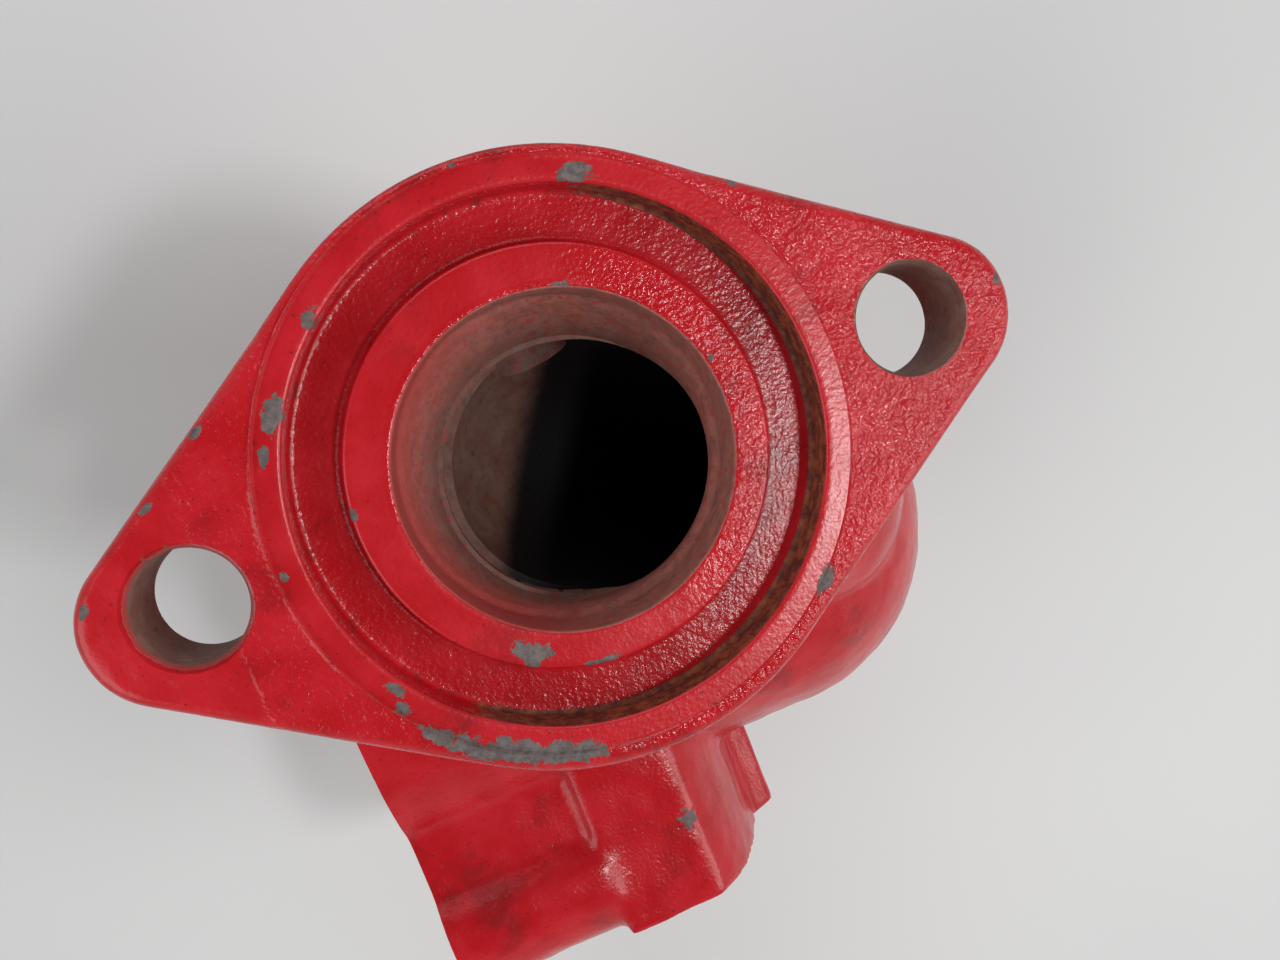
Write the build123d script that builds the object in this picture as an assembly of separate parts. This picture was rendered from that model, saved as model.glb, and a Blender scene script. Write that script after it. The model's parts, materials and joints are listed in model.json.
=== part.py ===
from build123d import *
import os
from math import asin, cos, radians, sin

# Small in-line circulator pump end: a cast-iron casing with two identical rhombic two-bolt port
# flanges, one above the other, and a horizontal barrel that holds the impeller, the mechanical
# seal and the ball-bearing cartridge.  Millimetres.  +Z is the pipe axis, X the shaft axis.
# The origin is the centre of the lower port, on the face of the lower flange.

# ---- driving dimensions: port flanges ----
FACE_TO_FACE = 130.0        # between the two port faces
BOLT_SPACING = 80.2         # two-bolt circulator flange, 3-5/32 in between hole centres
BOLT_HOLE_R = 5.95          # clears a 7/16 in bolt
FLANGE_THICK = 12.0
LOBE_R = 32.6               # round middle of the rhombus
LOBE_SHIFT_Y = -0.6         # the cast outline sits a little off the bolt line
TIP_R = 8.6                 # round ends of the rhombus
TIP_X = 43.0
EDGE_ROUND = 1.6
SPOT_FACE_R = 30.9          # machined ring that carries the gasket's edge
SPOT_FACE_DEPTH = 0.6
GROOVE_R = 28.1             # outer wall of the gasket groove
GROOVE_DEPTH = 5.0
COLLAR_R = 22.4             # raised collar round the port
COLLAR_DROP = 1.8           # the collar stops this far below the machined ring
PORT_R = 18.0
PORT_LENGTH = 8.0
THROAT_R = 15.0
THROAT_DEPTH = 20.0
CORE_SHIFT = (0.4, -0.6)    # the upper port was cast a little off the machined rings
THROAT_SHIFT = (1.6, -2.8)

# ---- driving dimensions: barrel, dome, neck and motor pad ----
SHAFT_Y = -25.6
SHAFT_Z = FACE_TO_FACE / 2
BARREL_R = 29.0
MOUTH_X = -37.0
DOME_X = 25.0
NECK_R = 24.5
WALL = 4.5
PAD_Y = -61.0               # pair of motor bosses under the barrel
PAD_TOP_Y = 9.8             # pair of motor bosses beside the neck
PAD_DZ = 15.0               # each boss is this far above or below the shaft
BOSS_R = 9.75
BOSS_TOP_X = -14.0          # where the upper bosses die out on the neck
LUG_X = 0.9                 # crest of the raised lug behind the near lower boss
LUG_START_X = -12.6
LUG_HALF_Z = 23.8
LUG_Y = -70.2
LUG_TIP_X = 15.3
WEB_HALF_Z = 22.0
ROOT_DEPTH = 8.0            # how far bosses and lug run into the barrel
TAP_R = 4.25                # M10 tapping size
TAP_DEPTH = 18.0

# ---- driving dimensions: water passages ----
CHAMBER_R = 22.0            # impeller chamber
CHAMBER_END_X = 3.4
PARTITION = 4.0             # wall between the impeller chamber and the suction dome
EYE_SEAT_R = 12.0
DOME_CORE_R = 24.5
ELBOW_R = 14.9              # suction elbow, from under the throat into the dome
ELBOW_TOP = (2.6, -2.8, 109.0)
ELBOW_FOOT = (30.0, -20.0, 84.0)
ELBOW_FOOT_R = 17.5         # outside of the elbow where it runs into the dome
DISCHARGE_TOP = (-6.0, -11.0, 55.0)     # where the discharge leaves the impeller chamber
DISCHARGE_TOP_R = 9.5

# ---- driving dimensions: cartridge and shaft ----
CARTRIDGE_R = 25.5
SHOULDER_X = -17.0
FIT = 0.05                  # clearance of the turned parts in their bores
SHAFT_R = 5.0
SHAFT_END_X = -46.5
SHAFT_CHAMFER = 0.6
FLAT_LENGTH = 5.0           # flat for the coupling's set screw
FLAT_DEPTH = 0.7
SEAT_R = 4.0                # shaft under the impeller
THREAD_R = 2.95
THREAD_LENGTH = 5.5
KEY_WIDTH = 2.0
KEY_DEPTH = 1.0
RING_THICK = 1.0            # snap rings on the shaft and in front of the first bearing
SHAFT_GROOVE_R = 4.5
CARRIER_RING_THICK = 1.2
CARRIER_RING_BITE = 1.4     # depth of its groove in the casing's bore

# ---- driving dimensions: ball bearings, 10 x 22 x 6 ----
BEARING_R = 11.0
BEARING_WIDTH = 6.0
OUTBOARD_X = -33.1          # outer end of the first bearing
SPACER = 1.2
OUTER_RACE_R = 9.1          # inside of the outer race
INNER_RACE_R = 6.9          # outside of the inner race
BALL_R = 1.6
BALL_PITCH_R = 8.0
BALL_COUNT = 9
CAGE_HALF_WIDTH = 2.0
CAGE_HALF_THICK = 0.5
SHIELD_THICK = 0.3
SHIELD_INSET = 0.15
SHIELD_R = 7.1              # inner edge of a shield, just clear of the inner race

# ---- driving dimensions: mechanical seal ----
NOSE_X = -13.5              # wet end of the cartridge nose, where the seal faces run
SEAT_POCKET = 4.0           # the ceramic seat and its rubber sit this deep in the nose
SEAL_SEAT_R = 9.6
SEAL_BORE_R = 5.8
SEAL_FACE_R = 8.6
SEAL_FACE_WIDTH = 2.5
SEAL_GAP = 0.03
BELLOWS_R = 6.4
BELLOWS_FLANGE = 1.0        # rubber between the carbon face and the spring
SPRING_R = 7.7
SPRING_WIRE_R = 0.45
SPRING_PITCH = 1.2
SPRING_LENGTH = 2.4
RETAINER_BORE_R = 6.6
RETAINER_R = 9.5

# ---- driving dimensions: impeller ----
IMPELLER_BACK_X = -5.6
IMPELLER_R = 19.5
SHROUD_X = 1.6
DISC_THICK = 2.0
SHROUD_THICK = 1.5
VANE_COUNT = 6
HUB_R = 6.0
EYE_R = 9.0                 # water enters the impeller here
EYE_NECK_R = 9.9            # turns inside the wear ring
WEAR_RING_R = 10.0
WASHER_THICK = 1.0
WASHER_R = 5.8
NUT_LENGTH = 4.5
NUT_CORNER_R = 5.6
NUT_CAP_R = 4.2

# ---- driving dimensions: gauge plugs and drain plug ----
TAP_BOSS_R = 8.0
PLUG_R = 4.9
PLUG_HEX_R = 6.3
PLUG_HEAD = 5.0
GAUGE_PLUG_DEPTH = 9
DRAIN_PLUG_DEPTH = 7
GAUGE_TAPS = [(2, 8, 27, FACE_TO_FACE - 24), (0, 8, 27, 24)]    # x, boss from y, boss to y, z
DRAIN_TAP = (-6, -36, 33.5, 48)                                 # x, y, boss from z, boss to z

INBOARD_X = OUTBOARD_X + BEARING_WIDTH + SPACER
HUB_END_X = SHROUD_X + SHROUD_THICK
CARRIER_X = OUTBOARD_X - 1.6
PORT_DEPTH = SPOT_FACE_DEPTH + COLLAR_DROP + PORT_LENGTH


def save(part, name):
    part.label = name
    export_step(part, f"parts/{name}.step")


def rod_z(x, y, z0, z1, r):
    """Upright cylinder from z0 to z1."""
    return Pos(x, y, (z0 + z1) / 2) * Cylinder(r, z1 - z0)


def rod_x(x0, x1, r, y=SHAFT_Y, z=SHAFT_Z):
    """Cylinder along X, on the shaft axis unless told otherwise."""
    return Pos((x0 + x1) / 2, y, z) * Rot(0, 90, 0) * Cylinder(r, x1 - x0)


def rod_y(x, y0, y1, z, r):
    return Pos(x, (y0 + y1) / 2, z) * Rot(90, 0, 0) * Cylinder(r, y1 - y0)


def ring_x(x0, x1, r_out, r_in):
    """Ring on the shaft axis."""
    return rod_x(x0, x1, r_out) - rod_x(x0 - 1, x1 + 1, r_in)


def slab(x0, x1, y0, y1, z0, z1):
    return Pos((x0 + x1) / 2, (y0 + y1) / 2, (z0 + z1) / 2) * Box(x1 - x0, y1 - y0, z1 - z0)


def disc(x, y, z, r, toward):
    """Circle for a loft, centred at x, y, z and facing along toward."""
    return Plane(origin=(x, y, z), z_dir=toward) * Circle(r)


def turned_x(points):
    """Body of revolution about the shaft axis from (x, radius) points."""
    face = make_face(Polyline(*[(x, r, 0) for x, r in points], close=True))
    return Pos(0, SHAFT_Y, SHAFT_Z) * revolve(face, Axis.X, 360)


def domed_x(points, r):
    """The same, with the last point running into a quarter-round dome that closes on the axis."""
    x1 = points[-1][0]
    dome = ThreePointArc((x1, r), (x1 + r * sin(radians(45)), r * cos(radians(45))), (x1 + r, 0))
    sides = Polyline((x1 + r, 0), (points[0][0], 0), *points)
    return Pos(0, SHAFT_Y, SHAFT_Z) * revolve(make_face(Curve() + [sides, dome]), Axis.X, 360)


def rod_between(start, finish, r, r_finish=None):
    """Slanting cylinder between two points, or a cone where it ends in another radius."""
    span = Vector(*finish) - Vector(*start)
    upright = (Align.CENTER, Align.CENTER, Align.MIN)
    if r_finish is None:
        rod = Cylinder(r, span.length, align=upright)
    else:
        rod = Cone(r, r_finish, span.length, align=upright)
    return Plane(origin=start, z_dir=span) * rod


# ---- casing ----
def rhombus():
    """Outline of a port flange: a round middle and two round tips with straight flanks."""
    lean = asin((LOBE_R - TIP_R) / TIP_X)
    nx, ny = sin(lean), cos(lean)
    corners = [(LOBE_R * nx, LOBE_R * ny), (TIP_X + TIP_R * nx, TIP_R * ny)]
    corners += [(x, -y) for x, y in reversed(corners)]
    corners += [(-x, y) for x, y in reversed(corners)]
    plate = make_face(Polyline(*corners, close=True)) + Circle(LOBE_R)
    for side in (-1, 1):
        plate += Pos(side * TIP_X, 0) * Circle(TIP_R)
    return Pos(0, LOBE_SHIFT_Y) * plate


def flange_blank(z0):
    blank = extrude(Pos(0, 0, z0) * rhombus(), FLANGE_THICK)
    return fillet(blank.edges().filter_by(Plane.XY), EDGE_ROUND)


def face_cuts():
    """Machined ring, gasket groove and dropped collar, for a face at z = 0 that looks up."""
    machined = -SPOT_FACE_DEPTH
    cuts = rod_z(0, 0, machined, 5, SPOT_FACE_R)
    floor = machined - GROOVE_DEPTH
    cuts += rod_z(0, 0, floor, 5, GROOVE_R) - rod_z(0, 0, floor - 1, 5, COLLAR_R)
    cuts += rod_z(0, 0, machined - COLLAR_DROP, 5, COLLAR_R)
    for side in (-1, 1):
        cuts += rod_z(side * BOLT_SPACING / 2, 0, -FLANGE_THICK - 5, 5, BOLT_HOLE_R)
    return cuts


def lug():
    """Raised block behind the lower bosses, with a crest, a rounded end and a longer foot."""
    top, bottom = SHAFT_Z + LUG_HALF_Z, SHAFT_Z - LUG_HALF_Z
    end = Polyline((LUG_X, top), (LUG_START_X, top), (LUG_START_X, bottom), (LUG_TIP_X, bottom),
                   (LUG_TIP_X, SHAFT_Z - 0.7), (LUG_X + 10.2, SHAFT_Z + 1.5), (LUG_X + 9.7, SHAFT_Z + 4.6))
    rounded = ThreePointArc((LUG_X + 9.7, SHAFT_Z + 4.6), (LUG_X + 5.3, SHAFT_Z + 17.4), (LUG_X, top))
    profile = make_face(Curve() + [end, rounded])
    return extrude(Plane.XZ.offset(-LUG_Y) * profile, -(SHAFT_Y - ROOT_DEPTH - LUG_Y))


def outer_shape():
    shape = domed_x([(MOUTH_X, BARREL_R), (DOME_X, BARREL_R)], BARREL_R)
    shape += rod_z(0, 0, FLANGE_THICK / 2, FACE_TO_FACE - FLANGE_THICK / 2, NECK_R)
    shape += rod_between(ELBOW_TOP, ELBOW_FOOT, ELBOW_R + WALL, ELBOW_FOOT_R)
    shape += Pos(*ELBOW_FOOT) * Sphere(ELBOW_FOOT_R)
    for dz in (-PAD_DZ, PAD_DZ):
        shape += rod_x(MOUTH_X, LUG_START_X + 2, BOSS_R, PAD_Y, SHAFT_Z + dz)
        shape += rod_x(MOUTH_X, BOSS_TOP_X, BOSS_R, PAD_TOP_Y, SHAFT_Z + dz)
    shape += slab(MOUTH_X, LUG_START_X + 2, PAD_Y - BOSS_R, SHAFT_Y - ROOT_DEPTH,
                  SHAFT_Z - PAD_DZ, SHAFT_Z + PAD_DZ)
    shape += slab(MOUTH_X, LUG_START_X + 2, PAD_Y, SHAFT_Y - ROOT_DEPTH,
                  SHAFT_Z - WEB_HALF_Z, SHAFT_Z + WEB_HALF_Z)
    shape += slab(MOUTH_X, BOSS_TOP_X, SHAFT_Y + ROOT_DEPTH, PAD_TOP_Y + BOSS_R,
                  SHAFT_Z - PAD_DZ, SHAFT_Z + PAD_DZ)
    shape += lug()
    shape += flange_blank(0)
    shape += flange_blank(FACE_TO_FACE - FLANGE_THICK)
    for x, y0, y1, z in GAUGE_TAPS:
        shape += rod_y(x, y0, y1, z, TAP_BOSS_R)
    x, y, z0, z1 = DRAIN_TAP
    shape += rod_z(x, y, z0, z1, TAP_BOSS_R)
    return shape


def suction_core():
    """Water path from the upper port, round an elbow, into the dome in front of the impeller."""
    port_end = FACE_TO_FACE - PORT_DEPTH
    core = rod_z(*CORE_SHIFT, port_end, FACE_TO_FACE + 1, PORT_R)
    core += loft([disc(*CORE_SHIFT, port_end, PORT_R, (0, 0, -1)),
                  disc(*THROAT_SHIFT, FACE_TO_FACE - THROAT_DEPTH, THROAT_R, (0, 0, -1))])
    core += Pos(*ELBOW_TOP) * Sphere(ELBOW_R)
    core += rod_between(ELBOW_TOP, ELBOW_FOOT, ELBOW_R)
    dome_start = CHAMBER_END_X + PARTITION
    core += domed_x([(dome_start, EYE_SEAT_R), (DOME_X - 3, DOME_CORE_R), (DOME_X, DOME_CORE_R)],
                    DOME_CORE_R)
    return core


def discharge_core():
    """Water path from the impeller chamber down to the lower port."""
    core = rod_x(SHOULDER_X, CHAMBER_END_X, CHAMBER_R)
    core += rod_z(0, 0, -1, PORT_DEPTH, PORT_R)
    throat = disc(0, 0, THROAT_DEPTH, THROAT_R, (0, 0, 1))
    core += loft([disc(0, 0, PORT_DEPTH, PORT_R, (0, 0, 1)), throat])
    core += loft([throat, disc(*DISCHARGE_TOP, DISCHARGE_TOP_R, (0, 0, 1))])
    return core


def casing():
    body = outer_shape()
    body -= Pos(0, 0, FACE_TO_FACE) * face_cuts()
    body -= Rot(180, 0, 0) * face_cuts()
    body -= suction_core()
    body -= discharge_core()
    body -= rod_x(CHAMBER_END_X - 1, CHAMBER_END_X + PARTITION + 1, EYE_SEAT_R)
    body -= rod_x(MOUTH_X - 1, SHOULDER_X, CARTRIDGE_R)
    body -= rod_x(CARRIER_X - CARRIER_RING_THICK, CARRIER_X, CARTRIDGE_R + CARRIER_RING_BITE)
    for dz in (-PAD_DZ, PAD_DZ):
        for y in (PAD_Y, PAD_TOP_Y):
            body -= rod_x(MOUTH_X - 1, MOUTH_X + TAP_DEPTH, TAP_R, y, SHAFT_Z + dz)
    for x, y0, y1, z in GAUGE_TAPS:
        body -= rod_y(x, y0 - 1, y1 + 1, z, PLUG_R)
    x, y, z0, z1 = DRAIN_TAP
    body -= rod_z(x, y, z0 - 1, z1, PLUG_R)
    return body


def plug(depth):
    """Pipe plug with a hexagon head; the threaded end points to +Z and the head sits at z = 0."""
    shank = rod_z(0, 0, 0, depth, PLUG_R - FIT)
    head = extrude(RegularPolygon(PLUG_HEX_R, 6), -PLUG_HEAD)
    head = chamfer(head.edges().filter_by(Plane.XY).group_by(Axis.Z)[0], 0.6)
    return shank + head


# ---- bearings ----
def bearing(x0):
    """Deep-groove ball bearing: outer race, inner race, balls, cage and two shields."""
    x1 = x0 + BEARING_WIDTH
    mid = (x0 + x1) / 2
    track = Pos(mid, SHAFT_Y, SHAFT_Z) * Rot(0, 90, 0) * Torus(BALL_PITCH_R, BALL_R + FIT)
    outer = ring_x(x0, x1, BEARING_R, OUTER_RACE_R) - track
    inner = ring_x(x0, x1, INNER_RACE_R, SHAFT_R) - track
    centres = []
    for i in range(BALL_COUNT):
        a = radians(360 / BALL_COUNT * i)
        centres.append((mid, SHAFT_Y + BALL_PITCH_R * cos(a), SHAFT_Z + BALL_PITCH_R * sin(a)))
    balls = Compound([Pos(*c) * Sphere(BALL_R) for c in centres])
    cage = ring_x(mid - CAGE_HALF_WIDTH, mid + CAGE_HALF_WIDTH,
                  BALL_PITCH_R + CAGE_HALF_THICK, BALL_PITCH_R - CAGE_HALF_THICK)
    for c in centres:
        outward = (0, c[1] - SHAFT_Y, c[2] - SHAFT_Z)
        cage -= Plane(origin=c, z_dir=outward) * Cylinder(BALL_R + FIT, 3)
    ends = (x0 + SHIELD_INSET, x1 - SHIELD_INSET - SHIELD_THICK)
    shields = Compound([ring_x(x, x + SHIELD_THICK, OUTER_RACE_R, SHIELD_R) for x in ends])
    return {"outer_race": outer, "inner_race": inner, "balls": balls, "cage": cage, "shields": shields}


# ---- cartridge ----
def carrier():
    body = turned_x([(CARRIER_X, BEARING_R), (CARRIER_X, CARTRIDGE_R - FIT), (SHOULDER_X, CARTRIDGE_R - FIT),
                     (SHOULDER_X, 16), (NOSE_X, 15), (NOSE_X, BEARING_R), (NOSE_X - SEAT_POCKET, BEARING_R),
                     (NOSE_X - SEAT_POCKET, 7.5), (INBOARD_X + BEARING_WIDTH, 7.5),
                     (INBOARD_X + BEARING_WIDTH, BEARING_R)])
    body -= ring_x(SHOULDER_X - 5.6, SHOULDER_X - 2.8, CARTRIDGE_R + 1, CARTRIDGE_R - 2.25)
    body -= rod_x(OUTBOARD_X - RING_THICK, OUTBOARD_X, BEARING_R + 0.8)
    lightening = Pos(CARRIER_X, SHAFT_Y, SHAFT_Z) * Rot(0, 90, 0) * Torus(18.3, 2.6)
    return body - lightening


def split_ring(x0, x1, r_out, r_in, gap, toward):
    """Retaining ring with a gap on the toward side."""
    cut = slab(x0 - 1, x1 + 1, SHAFT_Y - gap / 2, SHAFT_Y + gap / 2,
               *sorted((SHAFT_Z, SHAFT_Z + toward * (r_out + 2))))
    return ring_x(x0, x1, r_out, r_in) - cut


# ---- rotor ----
def shaft():
    body = rod_x(SHAFT_END_X, IMPELLER_BACK_X, SHAFT_R)
    body = chamfer(body.edges().group_by(Axis.X)[0], SHAFT_CHAMFER)
    body += rod_x(IMPELLER_BACK_X, HUB_END_X, SEAT_R)
    body += rod_x(HUB_END_X, HUB_END_X + THREAD_LENGTH, THREAD_R)
    body -= slab(SHAFT_END_X - 1, SHAFT_END_X + FLAT_LENGTH, SHAFT_Y - SHAFT_R, SHAFT_Y + SHAFT_R,
                 SHAFT_Z + SHAFT_R - FLAT_DEPTH, SHAFT_Z + SHAFT_R + 1)
    body -= ring_x(OUTBOARD_X - RING_THICK, OUTBOARD_X, SHAFT_R + 1, SHAFT_GROOVE_R)
    return body - key_block()


def key_block():
    return slab(IMPELLER_BACK_X + 1.5, SHROUD_X, SHAFT_Y - KEY_WIDTH / 2, SHAFT_Y + KEY_WIDTH / 2,
                SHAFT_Z + SEAT_R - KEY_DEPTH, SHAFT_Z + SEAT_R + KEY_DEPTH)


def impeller():
    """Closed impeller: back disc and hub, curved vanes, front shroud and eye neck."""
    body = ring_x(IMPELLER_BACK_X, IMPELLER_BACK_X + DISC_THICK, IMPELLER_R, SEAT_R)
    body += ring_x(IMPELLER_BACK_X, HUB_END_X, HUB_R, SEAT_R)
    inner_r, outer_r = 5.5, IMPELLER_R - 0.4
    for i in range(VANE_COUNT):
        outline = []
        for shift in (0.0, 7.0):
            a0, a1, a2 = (radians(360 / VANE_COUNT * i + a)
                          for a in (shift * 2, 26 + shift, 66 + shift * 0.6))
            outline.append(ThreePointArc((inner_r * cos(a0), inner_r * sin(a0)),
                                         (13 * cos(a1), 13 * sin(a1)),
                                         (outer_r * cos(a2), outer_r * sin(a2))))
        sides = [Line(outline[0] @ 1, outline[1] @ 1), Line(outline[1] @ 0, outline[0] @ 0)]
        blade = extrude(make_face(Curve() + outline + sides), SHROUD_X - IMPELLER_BACK_X - 1)
        body += Pos(IMPELLER_BACK_X + 1.5, SHAFT_Y, SHAFT_Z) * Rot(0, 90, 0) * blade
    body += ring_x(SHROUD_X, HUB_END_X, IMPELLER_R, EYE_R)
    body += ring_x(HUB_END_X, CHAMBER_END_X + PARTITION - 0.4, EYE_NECK_R, EYE_R)
    return body - key_block()


def seal_spring():
    """Seal spring: round wire wound round the bellows."""
    coil = Helix(pitch=SPRING_PITCH, height=SPRING_LENGTH, radius=SPRING_R)
    wire = sweep(Plane(origin=coil @ 0, z_dir=coil % 0) * Circle(SPRING_WIRE_R), path=coil)
    start = NOSE_X + SEAL_FACE_WIDTH + BELLOWS_FLANGE + SPRING_WIRE_R + FIT
    return Pos(start, SHAFT_Y, SHAFT_Z) * Rot(0, 90, 0) * wire


def seal_bellows():
    """Rubber sleeve that grips the shaft and carries the carbon face on its flange."""
    x0 = NOSE_X + SEAL_FACE_WIDTH
    x1, x2 = x0 + BELLOWS_FLANGE, IMPELLER_BACK_X - 0.2
    return turned_x([(x0, SHAFT_R), (x0, SEAL_FACE_R), (x1, SEAL_FACE_R), (x1, BELLOWS_R),
                     (x2, BELLOWS_R), (x2, SHAFT_R)])


def seal_retainer():
    """Pressed cup between the spring and the impeller's back."""
    back, rim = IMPELLER_BACK_X, RETAINER_R - 0.6
    return turned_x([(back - 1, RETAINER_BORE_R), (back - 1, rim), (back - 3, rim), (back - 3, RETAINER_R),
                     (back, RETAINER_R), (back, RETAINER_BORE_R)])


def impeller_nut():
    x0 = HUB_END_X + WASHER_THICK
    hexagon = Plane.YZ.offset(x0) * RegularPolygon(NUT_CORNER_R, 6)
    nut = Pos(0, SHAFT_Y, SHAFT_Z) * extrude(hexagon, NUT_LENGTH)
    nut += Pos(x0 + NUT_LENGTH, SHAFT_Y, SHAFT_Z) * Sphere(NUT_CAP_R)
    return nut - rod_x(x0 - 1, HUB_END_X + THREAD_LENGTH, THREAD_R)


def main():
    os.makedirs("parts", exist_ok=True)
    save(casing(), "pump_casing")
    save(ring_x(CHAMBER_END_X, CHAMBER_END_X + PARTITION, EYE_SEAT_R, WEAR_RING_R), "eye_wear_ring")

    save(carrier(), "bearing_carrier")
    groove_mid = SHOULDER_X - 4.2
    o_ring = Pos(groove_mid, SHAFT_Y, SHAFT_Z) * Rot(0, 90, 0) * Torus(CARTRIDGE_R - 1.15, 1.08)
    save(o_ring, "carrier_o_ring")
    save(split_ring(CARRIER_X - CARRIER_RING_THICK, CARRIER_X, CARTRIDGE_R + 1.3, 22.8, 9, 1),
         "carrier_snap_ring")
    save(split_ring(OUTBOARD_X - RING_THICK, OUTBOARD_X, BEARING_R + 0.7, 9.4, 5, 1), "bearing_snap_ring")
    save(ring_x(OUTBOARD_X + BEARING_WIDTH, INBOARD_X, BEARING_R, 9.4), "outer_spacer")
    save(ring_x(OUTBOARD_X + BEARING_WIDTH, INBOARD_X, 6.6, SHAFT_R), "inner_spacer")
    for name, x0 in (("outboard", OUTBOARD_X), ("inboard", INBOARD_X)):
        for piece, solid in bearing(x0).items():
            save(solid, f"{name}_{piece}")

    save(ring_x(NOSE_X - SEAT_POCKET, NOSE_X - 0.3, BEARING_R, SEAL_SEAT_R), "seal_seat_gasket")
    save(ring_x(NOSE_X - SEAT_POCKET, NOSE_X, SEAL_SEAT_R, SEAL_BORE_R), "seal_seat")
    save(ring_x(NOSE_X + SEAL_GAP, NOSE_X + SEAL_FACE_WIDTH, SEAL_FACE_R, SEAL_BORE_R), "seal_face")
    save(seal_bellows(), "seal_bellows")
    save(seal_spring(), "seal_spring")
    save(seal_retainer(), "seal_retainer")

    save(shaft(), "shaft")
    save(split_ring(OUTBOARD_X - RING_THICK, OUTBOARD_X, 6.5, SHAFT_GROOVE_R, 4, 1), "shaft_snap_ring")
    save(key_block(), "impeller_key")
    save(impeller(), "impeller")
    save(ring_x(HUB_END_X, HUB_END_X + WASHER_THICK, WASHER_R, THREAD_R), "impeller_washer")
    save(impeller_nut(), "impeller_nut")

    gauges = [Pos(x, y1, z) * Rot(90, 0, 0) * plug(GAUGE_PLUG_DEPTH) for x, _, y1, z in GAUGE_TAPS]
    save(Compound(gauges), "gauge_plugs")
    x, y, z0, _ = DRAIN_TAP
    save(Pos(x, y, z0) * plug(DRAIN_PLUG_DEPTH), "drain_plug")


main()
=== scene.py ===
import json
from math import asin, cos, pi, radians, sin, sqrt

import bmesh
import bpy
import numpy as np
from mathutils import Matrix, Vector, noise


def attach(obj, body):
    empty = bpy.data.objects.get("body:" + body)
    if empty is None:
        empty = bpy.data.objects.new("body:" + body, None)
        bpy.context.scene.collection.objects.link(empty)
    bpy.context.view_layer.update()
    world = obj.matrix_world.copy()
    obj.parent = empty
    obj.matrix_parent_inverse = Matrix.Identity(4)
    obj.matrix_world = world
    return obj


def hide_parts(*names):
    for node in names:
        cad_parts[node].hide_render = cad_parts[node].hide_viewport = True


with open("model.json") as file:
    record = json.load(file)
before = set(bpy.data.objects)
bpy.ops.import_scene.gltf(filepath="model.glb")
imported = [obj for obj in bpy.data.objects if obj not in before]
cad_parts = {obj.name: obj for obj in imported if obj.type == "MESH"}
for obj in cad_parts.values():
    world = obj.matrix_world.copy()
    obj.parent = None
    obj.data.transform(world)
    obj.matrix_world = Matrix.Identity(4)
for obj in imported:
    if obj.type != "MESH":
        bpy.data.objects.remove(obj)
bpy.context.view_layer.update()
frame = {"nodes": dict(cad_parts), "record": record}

# The casting is modelled in millimetres and scaled once, when it is finished.
MM = 0.001

# ---- port flanges ----
FACE_Z = 130.0
BOLT_X = 40.1
BOLT_R = 5.95
FLANGE = 12.0
LOBE_R, LOBE_Y = 32.6, -0.6
TIP_R, TIP_X = 8.6, 43.0
ROUND = 1.6
RING_R, RING_Z = 30.9, -0.6
GROOVE_R, GROOVE_Z = 28.1, -5.6
COLLAR_R, COLLAR_Z = 22.4, -2.4
PORT_R, PORT_Z = 18.0, -10.4
THROAT_R, THROAT_Z = 15.0, -20.0
SLEEVE_R = 22.0
CORE_SHIFT = Vector((0.4, -0.6, 0))
THROAT_SHIFT = Vector((1.6, -2.8, 0))

# ---- casting behind the flanges ----
SHAFT = Vector((0, -25.6, 65))
BARREL_R = 29.0
MOUTH_X, DOME_X = -37.0, 25.0
NECK_R = 24.5
ELBOW_TOP, ELBOW_FOOT = Vector((2.6, -2.8, 109)), Vector((30, -20, 84))
ELBOW_R, ELBOW_WALL, ELBOW_FOOT_R = 14.9, 4.5, 17.5
PAD_Y, PAD_TOP_Y, PAD_DZ = -61.0, 9.8, 15.0
BOSS_R, BOSS_TOP_X = 9.75, -14
ROOT_DEPTH = 8                  # how far pad and lug reach into the barrel
WEB_HALF_Z = 22
LUG_START, LUG_CREST, LUG_TIP = -12.6, 0.9, 15.3
LUG_HALF, LUG_Y = 23.8, -70.2
CHAMBER_R, CHAMBER_X = 22.0, (-17.0, 3.4)
DOME_CORE_R = 24.5
EYE_R, EYE_X = 12.0, 7.4
CARTRIDGE_R, CARTRIDGE_X = 25.5, -17.0
SNAP_GROOVE_R, SNAP_GROOVE_X = 26.9, (-35.9, -34.7)
TAP_R, TAP_DEPTH = 4.25, 18.0
PLUG_R, PLUG_BOSS_R = 4.9, 8.0
GAUGE_TAPS = ((2, 106), (0, 24))
GAUGE_ROOT_Y, GAUGE_FACE_Y = 8, 27
DRAIN = (-6, -36)
DRAIN_FACE_Z, DRAIN_ROOT_Z = 33.5, 48
DISCHARGE_TOP, DISCHARGE_R = Vector((-6, -11, 55)), 9.5

VOXEL = 0.75
SMOOTH_PASSES = 8
UP = Vector((0, 0, 1))


# ---------------------------------------------------------------- mesh helpers
def new_object(name, mesh):
    obj = bpy.data.objects.new(name, mesh)
    bpy.context.scene.collection.objects.link(obj)
    return obj


def from_bmesh(name, bm):
    if bm.calc_volume(signed=True) < 0:
        bmesh.ops.reverse_faces(bm, faces=bm.faces)
    mesh = bpy.data.meshes.new(name)
    bm.to_mesh(mesh)
    bm.free()
    return new_object(name, mesh)


def rod(start, finish, r, r_finish=None, sides=160):
    """Cylinder or cone between two points."""
    start, finish = Vector(start), Vector(finish)
    span = finish - start
    bm = bmesh.new()
    bmesh.ops.create_cone(bm, cap_ends=True, cap_tris=True, segments=sides, radius1=r,
                          radius2=r if r_finish is None else r_finish, depth=span.length)
    turn = span.to_track_quat("Z", "Y").to_matrix().to_4x4()
    bm.transform(Matrix.Translation((start + finish) / 2) @ turn)
    return from_bmesh("rod", bm)


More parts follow.
